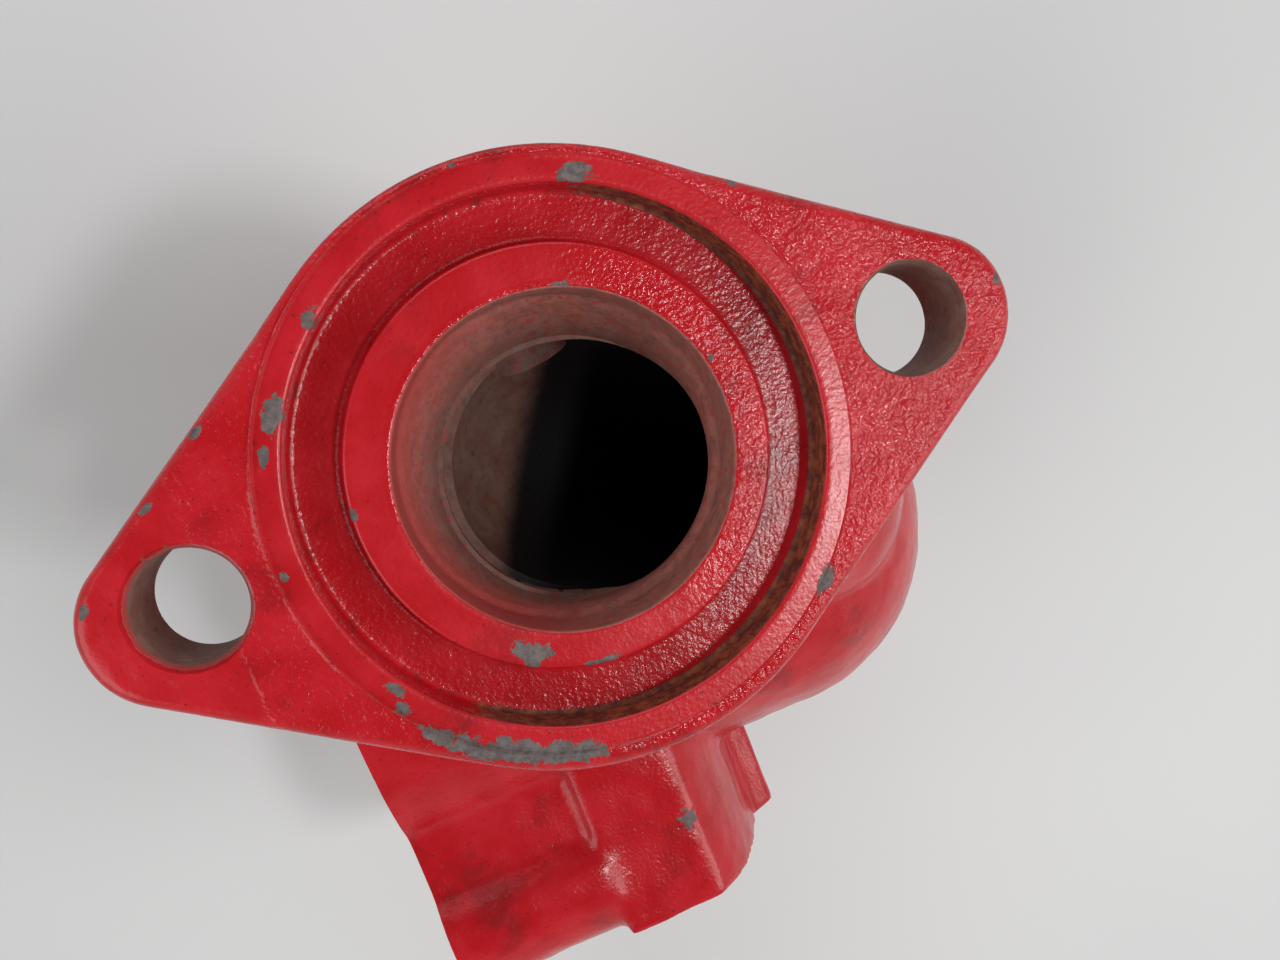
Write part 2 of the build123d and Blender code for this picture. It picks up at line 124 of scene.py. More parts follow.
def rod_x(x0, x1, r, y=SHAFT.y, z=SHAFT.z, r_finish=None, sides=160):
    return rod((x0, y, z), (x1, y, z), r, r_finish, sides)


def ball(centre, r):
    bm = bmesh.new()
    bmesh.ops.create_uvsphere(bm, u_segments=96, v_segments=64, radius=r)
    bm.transform(Matrix.Translation(centre))
    return from_bmesh("ball", bm)


def slab(x, y, z, cells=8):
    """Block between two x, two y and two z values; its faces are divided into cells a side."""
    bm = bmesh.new()
    bmesh.ops.create_cube(bm, size=1)
    bmesh.ops.subdivide_edges(bm, edges=bm.edges, cuts=cells - 1, use_grid_fill=True)
    size = Matrix.Diagonal((x[1] - x[0], y[1] - y[0], z[1] - z[0], 1))
    middle = ((x[0] + x[1]) / 2, (y[0] + y[1]) / 2, (z[0] + z[1]) / 2)
    bm.transform(Matrix.Translation(middle) @ size)
    return from_bmesh("slab", bm)


def prism(outline, y0, y1):
    """Solid with an (x, z) outline, from y0 to y1."""
    bm = bmesh.new()
    near = [bm.verts.new((x, y0, z)) for x, z in outline]
    far = [bm.verts.new((x, y1, z)) for x, z in outline]
    bm.faces.new(near)
    bm.faces.new(list(reversed(far)))
    for i in range(len(outline)):
        j = (i + 1) % len(outline)
        bm.faces.new((near[j], near[i], far[i], far[j]))
    return from_bmesh("prism", bm)


def apply_modifiers(obj):
    graph = bpy.context.evaluated_depsgraph_get()
    mesh = bpy.data.meshes.new_from_object(obj.evaluated_get(graph))
    old = obj.data
    obj.modifiers.clear()
    obj.data = mesh
    bpy.data.meshes.remove(old)


def join(objects, name):
    """One object that holds all the meshes; nothing is merged."""
    bm = bmesh.new()
    for obj in objects:
        bm.from_mesh(obj.data)
        bpy.data.objects.remove(obj)
    return from_bmesh(name, bm)


def combine(target, tool, operation):
    step = target.modifiers.new("combine", "BOOLEAN")
    step.operation = operation
    step.solver = "MANIFOLD"
    step.object = tool
    apply_modifiers(target)
    bpy.data.objects.remove(tool)


def coordinates(mesh):
    co = np.empty(len(mesh.vertices) * 3)
    mesh.vertices.foreach_get("co", co)
    return co.reshape(-1, 3)


def set_coordinates(mesh, co):
    mesh.vertices.foreach_set("co", co.ravel())
    mesh.update()


# ---------------------------------------------------------------- port flange
def rhombus_radius(angles):
    """Distance from the pipe axis to the flange's outline, at each angle."""
    lean = asin((LOBE_R - TIP_R) / TIP_X)
    lobe = np.linspace(pi / 2, pi / 2 - lean, 60)
    tip = np.linspace(pi / 2 - lean, 0, 60)
    quarter = [(LOBE_R * cos(a), LOBE_R * sin(a)) for a in lobe]
    start, finish = quarter[-1], (TIP_X + TIP_R * cos(tip[0]), TIP_R * sin(tip[0]))
    quarter += [tuple(np.add(start, np.subtract(finish, start) * t)) for t in np.linspace(0, 1, 80)[1:-1]]
    quarter += [(TIP_X + TIP_R * cos(a), TIP_R * sin(a)) for a in tip]
    right = [(x, y) for x, y in quarter] + [(x, -y) for x, y in reversed(quarter)]
    points = np.array(right + [(-x, y) for x, y in reversed(right)]) + (0, LOBE_Y)
    around = np.unwrap(np.arctan2(points[:, 1], points[:, 0]))
    order = np.argsort(around)
    return np.interp(angles, around[order], np.hypot(*points.T)[order], period=2 * pi)


def smooth_step(t):
    t = np.clip(t, 0, 1)
    return t * t * (3 - 2 * t)


def arc(centre, r, first, last, count):
    """Points on an arc in the (radius, height) plane; angles in degrees."""
    return [(centre[0] + r * cos(radians(a)), centre[1] + r * sin(radians(a)))
            for a in np.linspace(first, last, count)]


def stretch(first, last, step):
    """Evenly spaced points between two (radius, height) points, the first left out."""
    count = max(2, round(sqrt((last[0] - first[0]) ** 2 + (last[1] - first[1]) ** 2) / step) + 1)
    return [(first[0] + (last[0] - first[0]) * t, first[1] + (last[1] - first[1]) * t)
            for t in np.linspace(0, 1, count)[1:]]


def port_profile(step):
    """Turned part of the flange, from the throat up and out to the machined ring, as (radius, height)."""
    line = [(THROAT_R, THROAT_Z)]
    line += stretch(line[-1], (THROAT_R + 0.5, THROAT_Z + 0.9), step / 2)
    line += stretch(line[-1], (PORT_R - 0.7, PORT_Z - 1.2), step)
    line += stretch(line[-1], (PORT_R, PORT_Z), step)
    line += stretch(line[-1], (PORT_R, COLLAR_Z - 0.4), step)
    line += arc((PORT_R + 0.4, COLLAR_Z - 0.4), 0.4, 180, 90, 5)[1:]
    line += stretch(line[-1], (COLLAR_R - 0.45, COLLAR_Z), step)
    line += arc((COLLAR_R - 0.45, COLLAR_Z - 0.45), 0.45, 90, 0, 6)[1:]
    line += stretch(line[-1], (COLLAR_R + 0.1, GROOVE_Z + 0.9), step)
    line += arc((COLLAR_R + 1.0, GROOVE_Z + 0.9), 0.9, 180, 270, 6)[1:]
    line += stretch(line[-1], (GROOVE_R - 0.6, GROOVE_Z), step)
    line += arc((GROOVE_R - 0.6, GROOVE_Z + 0.6), 0.6, 270, 360, 5)[1:]
    line += stretch(line[-1], (GROOVE_R, RING_Z - 0.35), step)
    line += arc((GROOVE_R + 0.35, RING_Z - 0.35), 0.35, 180, 90, 4)[1:]
    line += stretch(line[-1], (RING_R - 0.15, RING_Z), step)
    return line


def flange(name, around, step, shifted):
    """Port flange whose face is at z = 0 and looks up, with a sleeve that goes down into the neck."""
    angles = np.linspace(0, 2 * pi, around, endpoint=False)
    edge = rhombus_radius(angles)
    rounding = np.clip(edge - RING_R - 0.45, 0.6, ROUND)
    # The rough face stands above the machined ring on one side and runs level with it on the other.
    level = RING_Z * smooth_step(0.5 + 0.75 * np.cos(angles - radians(-12)))
    rows = []
    for r, z in port_profile(step):
        rows.append((np.full(around, r), np.full(around, z)))
    cast_start = RING_R + 0.12
    rows.append((np.full(around, cast_start), level * 0.75 + RING_Z * 0.25))
    inner = cast_start + 0.15
    outer = np.maximum(edge - rounding, inner + 0.02)
    cast_rows = round((TIP_X + TIP_R - RING_R) / step)
    for t in np.linspace(0, 1, cast_rows):
        rows.append((inner + (outer - inner) * t, level.copy()))
    for a in np.linspace(0, pi / 2, 7)[1:]:
        rows.append((outer + (edge - outer) * sin(a), level - rounding * (1 - cos(a))))
    for t in np.linspace(0, 1, round(FLANGE / step))[1:]:
        rows.append((edge.copy(), (level - rounding) * (1 - t) + (ROUND - FLANGE) * t))
    for a in np.linspace(0, pi / 2, 5)[1:]:
        rows.append((edge - ROUND * (1 - cos(a)), np.full(around, ROUND - FLANGE - ROUND * sin(a))))
    under = edge - ROUND
    for t in np.linspace(0, 1, round(20 / step))[1:]:
        rows.append((under + (SLEEVE_R - under) * t, np.full(around, -FLANGE)))
    for z in (-14.0, -16.0, -18.0, THROAT_Z):
        rows.append((np.full(around, SLEEVE_R), np.full(around, z)))
    rows.append((np.full(around, SLEEVE_R - 3), np.full(around, THROAT_Z)))

    points = []
    for r, z in rows:
        x, y = r * np.cos(angles), r * np.sin(angles)
        if shifted:
            # The port was cast off centre: its wall leans away from the turned collar.
            near = smooth_step((COLLAR_R - 1.2 - r) / 3)
            deep = smooth_step((PORT_Z - z) / (PORT_Z - THROAT_Z)) * near
            x = x + CORE_SHIFT.x * near + (THROAT_SHIFT.x - CORE_SHIFT.x) * deep
            y = y + CORE_SHIFT.y * near + (THROAT_SHIFT.y - CORE_SHIFT.y) * deep
        points.append(np.stack([x, y, z], 1))
    count = len(points)
    faces = []
    for i in range(count):
        low, high = i * around, ((i + 1) % count) * around
        for j in range(around):
            k = (j + 1) % around
            faces.append((low + j, low + k, high + k, high + j))
    mesh = bpy.data.meshes.new(name)
    mesh.from_pydata(np.concatenate(points).tolist(), [], faces)
    bm = bmesh.new()
    bm.from_mesh(mesh)
    return from_bmesh(name, bm)


def roughen_flange(obj, seed):
    """Sand-cast unevenness on the rough face, the edges and the groove's floor."""
    co = coordinates(obj.data)
    r = np.hypot(co[:, 0], co[:, 1])
    rough = np.where((r > RING_R + 0.3) | (co[:, 2] < -8), 1.0, 0.0)
    floor = (np.abs(co[:, 2] - GROOVE_Z) < 0.3) & (r > COLLAR_R + 0.3) & (r < GROOVE_R - 0.3)
    rough = np.where(floor, 0.45, rough)
    rough = np.where(r < SLEEVE_R - 0.5, np.where(co[:, 2] < PORT_Z, 0.7, 0.25), rough)
    rough[co[:, 2] < THROAT_Z + 1.2] = 0
    for i in np.nonzero(rough)[0]:
        p = Vector(co[i])
        swell = noise.noise(p * 0.11 + seed) * 0.18 - 0.12 if r[i] > RING_R else 0
        grain = noise.noise(p * 0.45 + seed) * 0.025 + noise.noise(p * 0.95 + seed) * 0.06
        co[i, 2] += rough[i] * (swell + grain)
    co[:, 2] = np.minimum(co[:, 2], 0)
    set_coordinates(obj.data, co)


# ---------------------------------------------------------------- cast body
def lug_outline():
    """Side view of the raised lug: flat top, rounded end and a longer foot."""
    top, bottom = SHAFT.z + LUG_HALF, SHAFT.z - LUG_HALF
    outline = [(LUG_START - 1, bottom), (LUG_START - 1, top), (LUG_CREST, top)]
    fall = ((LUG_CREST + 2.6, top - 2.6), (LUG_CREST + 5.3, top - 6.4), (LUG_CREST + 7.8, top - 11.8),
            (LUG_CREST + 9.7, top - 19.2), (LUG_CREST + 10.2, top - 22.3))
    return outline + list(fall) + [(LUG_TIP, SHAFT.z - 0.7), (LUG_TIP, bottom)]


def cast_skin():
    """Outside of the casting between the flanges, with the blends that a casting has."""
    z_low, z_high = SHAFT.z - PAD_DZ, SHAFT.z + PAD_DZ
    past = MOUTH_X - 3
    solids = [
        rod_x(past, DOME_X, BARREL_R), ball((DOME_X, SHAFT.y, SHAFT.z), BARREL_R),
        rod((0, 0, FLANGE - 6), (0, 0, FACE_Z - FLANGE + 3), NECK_R),
        rod(ELBOW_TOP, ELBOW_FOOT, ELBOW_R + ELBOW_WALL, ELBOW_FOOT_R), ball(ELBOW_FOOT, ELBOW_FOOT_R),
        slab((past, LUG_START), (PAD_Y - BOSS_R, SHAFT.y - ROOT_DEPTH), (z_low, z_high)),
        slab((past, LUG_START), (PAD_Y, SHAFT.y - ROOT_DEPTH), (SHAFT.z - WEB_HALF_Z, SHAFT.z + WEB_HALF_Z)),
        slab((past, BOSS_TOP_X), (SHAFT.y + ROOT_DEPTH, PAD_TOP_Y + BOSS_R), (z_low, z_high)),
        prism(lug_outline(), LUG_Y, SHAFT.y - ROOT_DEPTH),
        rod((*DRAIN, DRAIN_FACE_Z), (*DRAIN, DRAIN_ROOT_Z), PLUG_BOSS_R),
    ]
    for z in (z_low, z_high):
        solids.append(rod_x(past, LUG_START, BOSS_R, PAD_Y, z))
        solids.append(rod_x(past, BOSS_TOP_X, BOSS_R, PAD_TOP_Y, z))
    for x, z in GAUGE_TAPS:
        solids.append(rod((x, GAUGE_ROOT_Y, z), (x, GAUGE_FACE_Y, z), PLUG_BOSS_R))
    skin = join(solids, "casing_skin")
    remesh = skin.modifiers.new("remesh", "REMESH")
    remesh.mode = "VOXEL"
    remesh.voxel_size = VOXEL
    smooth = skin.modifiers.new("smooth", "SMOOTH")
    smooth.factor, smooth.iterations = 0.5, SMOOTH_PASSES
    apply_modifiers(skin)
    return skin


def roughen_skin(obj):
    mesh = obj.data
    co = coordinates(mesh)
    normals = np.empty(len(co) * 3)
    mesh.vertices.foreach_get("normal", normals)
    normals = normals.reshape(-1, 3)
    lift = np.empty(len(co))
    for i, p in enumerate(co):
        p = Vector(p)
        lift[i] = noise.noise(p * 0.09) * 0.30 + noise.noise(p * 0.35) * 0.12 + noise.noise(p * 0.9) * 0.05
    set_coordinates(mesh, co + normals * (lift - 0.15)[:, None])


def cut(obj, *tools):
    """Takes all the tools out of the object in one step."""
    cutter = tools[0]
    for tool in tools[1:]:
        combine(cutter, tool, "UNION")
    combine(obj, cutter, "DIFFERENCE")


def build_casing():
    body = cast_skin()
    roughen_skin(body)
    cut(body, slab((-80, MOUTH_X), (-90, 60), (-10, 140), 60))
    # Room for the two flanges, which are made separately at a finer grain.
    for z0, z1 in ((FACE_Z + THROAT_Z + 1, FACE_Z + 9), (-9, -THROAT_Z - 1)):
        cut(body, rod((0, 0, z0), (0, 0, z1), SLEEVE_R - 1.2))
    upper = flange("flange_upper", 720, 0.5, True)
    lower = flange("flange_lower", 360, 0.9, False)
    roughen_flange(upper, Vector((0, 0, 0)))
    roughen_flange(lower, Vector((40, 0, 0)))
    upper.data.transform(Matrix.Translation((0, 0, FACE_Z)))
    lower.data.transform(Matrix.Scale(-1, 4, UP))
    lower.data.flip_normals()
    combine(body, upper, "UNION")
    combine(body, lower, "UNION")

    # Suction side: elbow and dome in front of the impeller's eye.
    tools = [
        ball(ELBOW_TOP, ELBOW_R), rod(ELBOW_TOP, ELBOW_FOOT, ELBOW_R),
        ball((DOME_X, SHAFT.y, SHAFT.z), DOME_CORE_R),
        rod_x(EYE_X, DOME_X - 3, EYE_R, r_finish=DOME_CORE_R),
        rod_x(DOME_X - 3.01, DOME_X, DOME_CORE_R),
        rod_x(CHAMBER_X[1] - 0.5, EYE_X + 0.5, EYE_R),
    ]
    # Where the throats of the two ports run into the passages.
    upper, lower = Vector((THROAT_SHIFT.x, THROAT_SHIFT.y, FACE_Z + THROAT_Z)), Vector((0, 0, -THROAT_Z))
    tools.append(rod(upper + Vector((0, 0, -1.4)), upper + Vector((0, 0, 1.06)), THROAT_R - 0.02))
    tools.append(rod(lower + Vector((0, 0, -1.06)), lower + Vector((0, 0, 1)), THROAT_R - 0.02))
    # Pressure side: impeller chamber and the way down to the lower port.
    tools += [
        rod_x(CHAMBER_X[0] - 0.5, CHAMBER_X[1], CHAMBER_R),
        rod((0, 0, -THROAT_Z - 0.01), DISCHARGE_TOP, THROAT_R, DISCHARGE_R),
    ]
    # Machined seats, grooves and holes.
    tools += [rod_x(MOUTH_X - 1, CARTRIDGE_X, CARTRIDGE_R), rod_x(*SNAP_GROOVE_X, SNAP_GROOVE_R)]
    for dz in (-PAD_DZ, PAD_DZ):
        for y in (PAD_Y, PAD_TOP_Y):
            tools.append(rod_x(MOUTH_X - 1, MOUTH_X + TAP_DEPTH, TAP_R, y, SHAFT.z + dz, sides=64))
            tools.append(rod_x(MOUTH_X - 0.5, MOUTH_X + 0.6, TAP_R + 1.1, y, SHAFT.z + dz, TAP_R, sides=64))
    for x, z in GAUGE_TAPS:
        tools.append(rod((x, GAUGE_ROOT_Y - 1, z), (x, GAUGE_FACE_Y + 3, z), PLUG_R, sides=64))
        tools.append(slab((x - 9, x + 9), (GAUGE_FACE_Y, GAUGE_FACE_Y + 3), (z - 9, z + 9)))
    tools.append(rod((*DRAIN, DRAIN_FACE_Z - 3.5), (*DRAIN, DRAIN_ROOT_Z), PLUG_R, sides=64))
    for side in (-1, 1):
        x = side * BOLT_X
        tools.append(rod((x, 0, FACE_Z - 14), (x, 0, FACE_Z + 4), BOLT_R, sides=128))
        tools.append(rod((x, 0, -4), (x, 0, 14), BOLT_R, sides=96))
        tools.append(rod((x, 0, FACE_Z - 1.25), (x, 0, FACE_Z + 0.35), BOLT_R, BOLT_R + 0.9, sides=128))
    cut(body, *tools)
    return body


# ---------------------------------------------------------------- surface masks
def face_depth(z):
    """Distance inward from the nearer of the two port faces."""
    return np.minimum(FACE_Z - z, z)


def near_segment(co, start, finish):
    """Distance of each point from a line segment."""
    start, span = np.array(start), np.array(finish) - np.array(start)
    t = np.clip((co - start) @ span / (span @ span), 0, 1)
    return np.linalg.norm(co - start - t[:, None] * span, axis=1)


def bare_mask(co):
    """1 where the iron was never painted: the water passages, the bolt holes and the turned seats."""
    x, y, z = co.T
    down = FACE_Z - z
    port = np.hypot(x - CORE_SHIFT.x, y - CORE_SHIFT.y)
    from_shaft = np.hypot(y - SHAFT.y, z - SHAFT.z)
    from_pipe = np.hypot(x, y)
    bare = (down > 2.5) & (down < 26) & (port < PORT_R + 0.7)
    bare |= (z < 26) & (z > 2.5) & (from_pipe < PORT_R + 0.7)
    bare |= near_segment(co, ELBOW_TOP, ELBOW_FOOT) < ELBOW_R + 1.2
    bare |= np.linalg.norm(co - (DOME_X, SHAFT.y, SHAFT.z), axis=1) < DOME_CORE_R + 1
    bare |= near_segment(co, (0, 0, -THROAT_Z), DISCHARGE_TOP) < 13
    bare |= (from_shaft < CARTRIDGE_R + 1.5) & (x > MOUTH_X + 0.05) & (x < DOME_X)
    for side in (-1, 1):
        bare |= (np.hypot(x - side * BOLT_X, y) < BOLT_R + 0.3) & (np.minimum(down, z) < 13)
    for dz in (-PAD_DZ, PAD_DZ):
        for boss_y in (PAD_Y, PAD_TOP_Y):
            bare |= (np.hypot(y - boss_y, z - SHAFT.z - dz) < TAP_R + 0.2) & (x < MOUTH_X + TAP_DEPTH + 1)
    return bare.astype(float)


def smooth_mask(co):
    """0 where the cast grain is strongest, up to 1 where the metal was turned smooth."""
    x, y, z = co.T
    r = np.hypot(x, y)
    down = face_depth(z)
    smooth = np.where(down < 3, 0.62 * (1 - smooth_step((x + 15) / 35)), 0.78)
    groove_floor = (r < GROOVE_R) & (r > COLLAR_R) & (down < 7)
    collar = (r < COLLAR_R + 0.3) & (r > PORT_R) & (down < 4)
    ring = (r < RING_R + 0.05) & (r > GROOVE_R) & (down < 2)
    smooth = np.where(groove_floor, 0.70, smooth)
    smooth = np.where(collar, 0.95 - 0.65 * smooth_step((x - 4) / 12), smooth)
    return np.where(ring | (x < MOUTH_X + 0.05), 0.92, smooth)


def groove_mask(co):
    """1 on the gasket groove's outer wall, which has lost its paint, fading in at both edges; it is kept to
    the side that faces away from the light, so its dark rust is partly painted shade.
    """
    r = np.hypot(co[:, 0], co[:, 1])
    down = face_depth(co[:, 2])
    wall = smooth_step((r - GROOVE_R + 0.75) / 0.5) * smooth_step((GROOVE_R + 0.25 - r) / 0.2)
    # Painted shade: the bare dark wall shows only on the side that faces away from the light.
    worn_and_shaded_side = smooth_step(0.62 + np.cos(np.arctan2(co[:, 1], co[:, 0]) - radians(-32)))
    worn_and_shaded = wall * smooth_step((down - 0.7) / 0.3) * (down < 6.5) * worn_and_shaded_side
    # Thin brown line at the foot of the step round the machined ring, where the step is highest.
    step_side = smooth_step(0.5 + 0.8 * np.cos(np.arctan2(co[:, 1], co[:, 0]) - radians(168)))
    line = np.exp(-((r - RING_R - 0.05) / 0.16) ** 2) * step_side * 0.62 * (down < 1.2)
    return np.maximum(worn_and_shaded, line)


def dirt_and_shade_mask(co):
    """How dark the paint is made, by dirt and painted shade: a little dirt everywhere, painted shade in the
    gasket groove, darkest next to its walls, and along the upper edge of the flange, which faces away from
    the light.
    """
    x, y, z = co.T
    r = np.hypot(x, y)
    down = face_depth(z)
    # Painted shade: the groove is darkest next to its two walls, and the flange's upper edge is darkened.
    in_groove = (r < GROOVE_R) & (r > COLLAR_R - 0.3) & (down > 2.6) & (down < 7)
    depth = smooth_step((r - COLLAR_R) / 1.2) * smooth_step((GROOVE_R - r) / 1.2)
    dirt_and_shade = np.where(in_groove, 0.62 - 0.34 * depth, 0.12)
    top_edge = (r > RING_R) & (y > 22) & (down < 3)
    return np.where(top_edge, 0.12 + 0.35 * smooth_step((y - 22) / 8), dirt_and_shade)


# Places where the paint is chipped to the primer: x, y, half length, half width (mm), and the
# direction of the long side in degrees.
FACE_CHIPS = (
    (-22.2, -22.1, 2.2, 0.9, -42), (-19.9, -24.1, 2.2, 1.2, -38), (-17.2, -25.8, 2.4, 1.4, -32),
    (-14.5, -27.3, 2.4, 1.5, -26), (-11.6, -28.5, 2.4, 1.4, -22), (-8.7, -29.6, 2.0, 1.2, -15),
    (-25.0, 14.9, 2.4, 1.0, 58), (-27.6, 11.3, 1.4, 0.6, 68), (-18.3, 22.3, 1.5, 0.9, 40),
    (12.0, 26.6, 1.9, 1.1, -22), (-10.4, -17.9, 2.2, 1.2, -28), (-10.8, -19.3, 0.8, 1.0, 60),
    (-3.8, -21.8, 2.0, 0.6, -8), (6.6, 16.6, 1.0, 0.5, -20), (18.6, 4.0, 0.5, 0.7, 0),
    (-49.3, 3.3, 1.0, 0.6, 60), (-39.8, 10.7, 0.9, 0.5, 35), (-32.6, 15.8, 0.8, 0.4, 35),
    (27.1, 20.0, 0.8, 0.5, -34), (50.3, 4.6, 1.2, 0.7, -55), (50.6, 0.5, 0.7, 0.5, -80),
    (21.6, -22.4, 1.8, 0.8, 44), (-24.6, -15.5, 1.4, 0.7, -58), (-24.6, -17.8, 0.9, 0.5, -52),
    (-30.3, -0.7, 0.8, 0.5, 95), (-42.1, -11.9, 0.9, 0.4, -30), (-12.6, -30.9, 1.4, 0.4, -15),
    (0.4, 31.3, 0.6, 0.4, 0), (-21.9, 2.4, 0.4, 0.9, 10), (-48.1, -7.8, 0.8, 0.4, -50),
)
# The same on the barrel, dome and lug, as balls: x, y, z, radius.
BODY_CHIPS = (
    (34.3, -48.1, 70.0, 3.0), (45.5, -46.7, 70.0, 1.2), (0.1, -57.3, 89.0, 1.7),
    (LUG_CREST, -52.0, 88.0, 0.8), (-8.0, -69.0, 84.0, 0.9), (-36.5, -60.0, 88.5, 1.0),
    (53.0, -30.0, 60.0, 1.5), (-46.0, -9.0, 6.0, 1.6), (30.0, 20.0, 9.0, 1.5), (24.0, 2.0, 60.0, 2.0),
    (-20.0, 13.0, 40.0, 1.6),
)


def chip_mask(co):
    """Above 0.5 where paint has gone; the shader breaks its edge up with noise."""
    x, y, z = co.T
    chip = np.zeros(len(co))
    on_face = FACE_Z - z < 4
    for cx, cy, length, width, lean in FACE_CHIPS:
        a = radians(lean)
        along = (x - cx) * cos(a) + (y - cy) * sin(a)
        across = (y - cy) * cos(a) - (x - cx) * sin(a)
        away = np.sqrt((along / length) ** 2 + (across / width) ** 2)
        chip = np.maximum(chip, np.where(on_face, 1 - away * 0.5, 0))
    for cx, cy, cz, size in BODY_CHIPS:
        away = np.sqrt((x - cx) ** 2 + (y - cy) ** 2 + (z - cz) ** 2) / size
        chip = np.maximum(chip, 1 - away * 0.5)
    return np.clip(chip, 0, 1)


PAINT, RUSTY, TURNED = 0, 1, 2      # the casing's material indices


def sort_faces(mesh):
    """Gives each face the material of what made it: a pattern, a core or a cutting tool."""
    bm = bmesh.new()
    bm.from_mesh(mesh)
    bmesh.ops.dissolve_degenerate(bm, dist=0.002, edges=bm.edges)
    centres = np.array([f.calc_center_median() for f in bm.faces])
    normals = np.array([f.normal for f in bm.faces])
    bare = bare_mask(centres) > 0
    kinds = np.where(bare, RUSTY, PAINT)
    port = np.hypot(centres[:, 0], centres[:, 1]) < PORT_R + 3
    kinds[port & (face_depth(centres[:, 2]) < -THROAT_Z)] = PAINT
    mouth = (np.abs(centres[:, 0] - MOUTH_X) < 0.02) & (normals[:, 0] < -0.99)
    kinds[mouth] = TURNED
    bore = np.hypot(centres[:, 1] - SHAFT.y, centres[:, 2] - SHAFT.z)
    in_seat = (centres[:, 0] < CARTRIDGE_X) & (centres[:, 0] > MOUTH_X)
    kinds[(np.abs(bore - CARTRIDGE_R) < 1.6) & in_seat] = TURNED
    for face, kind in zip(bm.faces, kinds):
        face.material_index = int(kind)
        face.smooth = bool(kind != TURNED or abs(face.normal.x) < 0.9)
    bm.to_mesh(mesh)
    bm.free()


def write_mask(mesh, name, values):
    layer = mesh.attributes.new(name, "FLOAT", "POINT")
    layer.data.foreach_set("value", values)


def finish_casing(body):
    mesh = body.data
    mesh.materials.clear()
    for look in (casing_material(), core_material(), turned_casing_material()):
        mesh.materials.append(look)
    sort_faces(mesh)
    co = coordinates(mesh)
    write_mask(mesh, "bare", bare_mask(co))
    write_mask(mesh, "smooth", smooth_mask(co))
    write_mask(mesh, "groove", groove_mask(co))
    write_mask(mesh, "chip", chip_mask(co))
    write_mask(mesh, "dirt_and_shade", dirt_and_shade_mask(co))
    mesh.transform(Matrix.Scale(MM, 4))
    mesh.set_sharp_from_angle(angle=radians(35))


# ---------------------------------------------------------------- materials
class Nodes:
    """Short calls for building one material's node tree."""

    def __init__(self, name):
        self.material = bpy.data.materials.new(name)
        self.material.use_nodes = True
        self.tree = self.material.node_tree
        self.shader = self.tree.nodes["Principled BSDF"]
        self.place = self.add("ShaderNodeTexCoord").outputs["Object"]

    def add(self, kind, **values):
        node = self.tree.nodes.new(kind)
        for key, value in values.items():
            setattr(node, key, value)
        return node

    def link(self, source, target):
        if isinstance(source, (int, float, tuple)):
            target.default_value = source
        else:
            self.tree.links.new(source, target)

    def mask(self, name):
        return self.add("ShaderNodeAttribute", attribute_name=name).outputs["Fac"]

    def noise(self, size_mm, detail=2.0, rough=0.5, shift=(0, 0, 0)):
        """Noise from 0 to 1 whose features are about size_mm across."""
        move = self.add("ShaderNodeMapping")
        move.inputs["Location"].default_value = shift
        self.link(self.place, move.inputs["Vector"])
        node = self.add("ShaderNodeTexNoise")
        self.link(move.outputs["Vector"], node.inputs["Vector"])
        node.inputs["Scale"].default_value = 1 / (size_mm * MM)
        node.inputs["Detail"].default_value = detail
        node.inputs["Roughness"].default_value = rough
        return node.outputs["Fac"]

    def math(self, operation, a, b=0.0):
        node = self.add("ShaderNodeMath", operation=operation)
        self.link(a, node.inputs[0])
        self.link(b, node.inputs[1])
        return node.outputs[0]

    def ramp(self, value, low, high):
        """0 below low, 1 above high."""
        node = self.add("ShaderNodeMapRange", interpolation_type="SMOOTHSTEP")
        self.link(value, node.inputs["Value"])
        node.inputs["From Min"].default_value = low
        node.inputs["From Max"].default_value = high
        return node.outputs["Result"]

    def blend(self, factor, a, b):
        """Mixes two numbers or two colours."""
        colours = isinstance(a, tuple) or isinstance(b, tuple) or getattr(a, "type", "") == "RGBA"
        node = self.add("ShaderNodeMix", data_type="RGBA" if colours else "FLOAT")
        self.link(factor, node.inputs["Factor"])
        first = 6 if colours else 2
        self.link(a, node.inputs[first])
        self.link(b, node.inputs[first + 1])
        return node.outputs[2 if colours else 0]

    def bump(self, height, depth_mm, under=None):
        node = self.add("ShaderNodeBump")
        node.inputs["Strength"].default_value = 1.0
        node.inputs["Distance"].default_value = depth_mm * MM
        self.link(height, node.inputs["Height"])
        if under is not None:
            self.link(under, node.inputs["Normal"])
        return node.outputs["Normal"]


RED = (0.43, 0.0055, 0.010, 1)
RED_PALE = (0.50, 0.012, 0.020, 1)
RED_DARK = (0.17, 0.008, 0.009, 1)
DIRT_AND_SHADE = (0.085, 0.020, 0.014, 1)
PRIMER = (0.15, 0.125, 0.118, 1)
PRIMER_DARK = (0.085, 0.066, 0.062, 1)
RUST = (0.170, 0.068, 0.052, 1)
RUST_DARK = (0.065, 0.033, 0.026, 1)
RUST_ORANGE = (0.24, 0.075, 0.022, 1)
GREY_BROWN = (0.215, 0.125, 0.100, 1)
BORE_RED = (0.42, 0.14, 0.11, 1)
OVERSPRAY = (0.40, 0.030, 0.030, 1)
PAINTED_SHADOW_BLACK = (0.006, 0.0052, 0.005, 1)
WALL_RUST_IN_SHADE = (0.085, 0.020, 0.015, 1)
WALL_RUST = (0.270, 0.072, 0.028, 1)
IRON_LIGHT = (0.26, 0.25, 0.24, 1)
IRON_DARK = (0.17, 0.155, 0.145, 1)
CLOTH_GREY = (0.62, 0.62, 0.62, 1)
CLOTH_PALE = (0.68, 0.68, 0.675, 1)


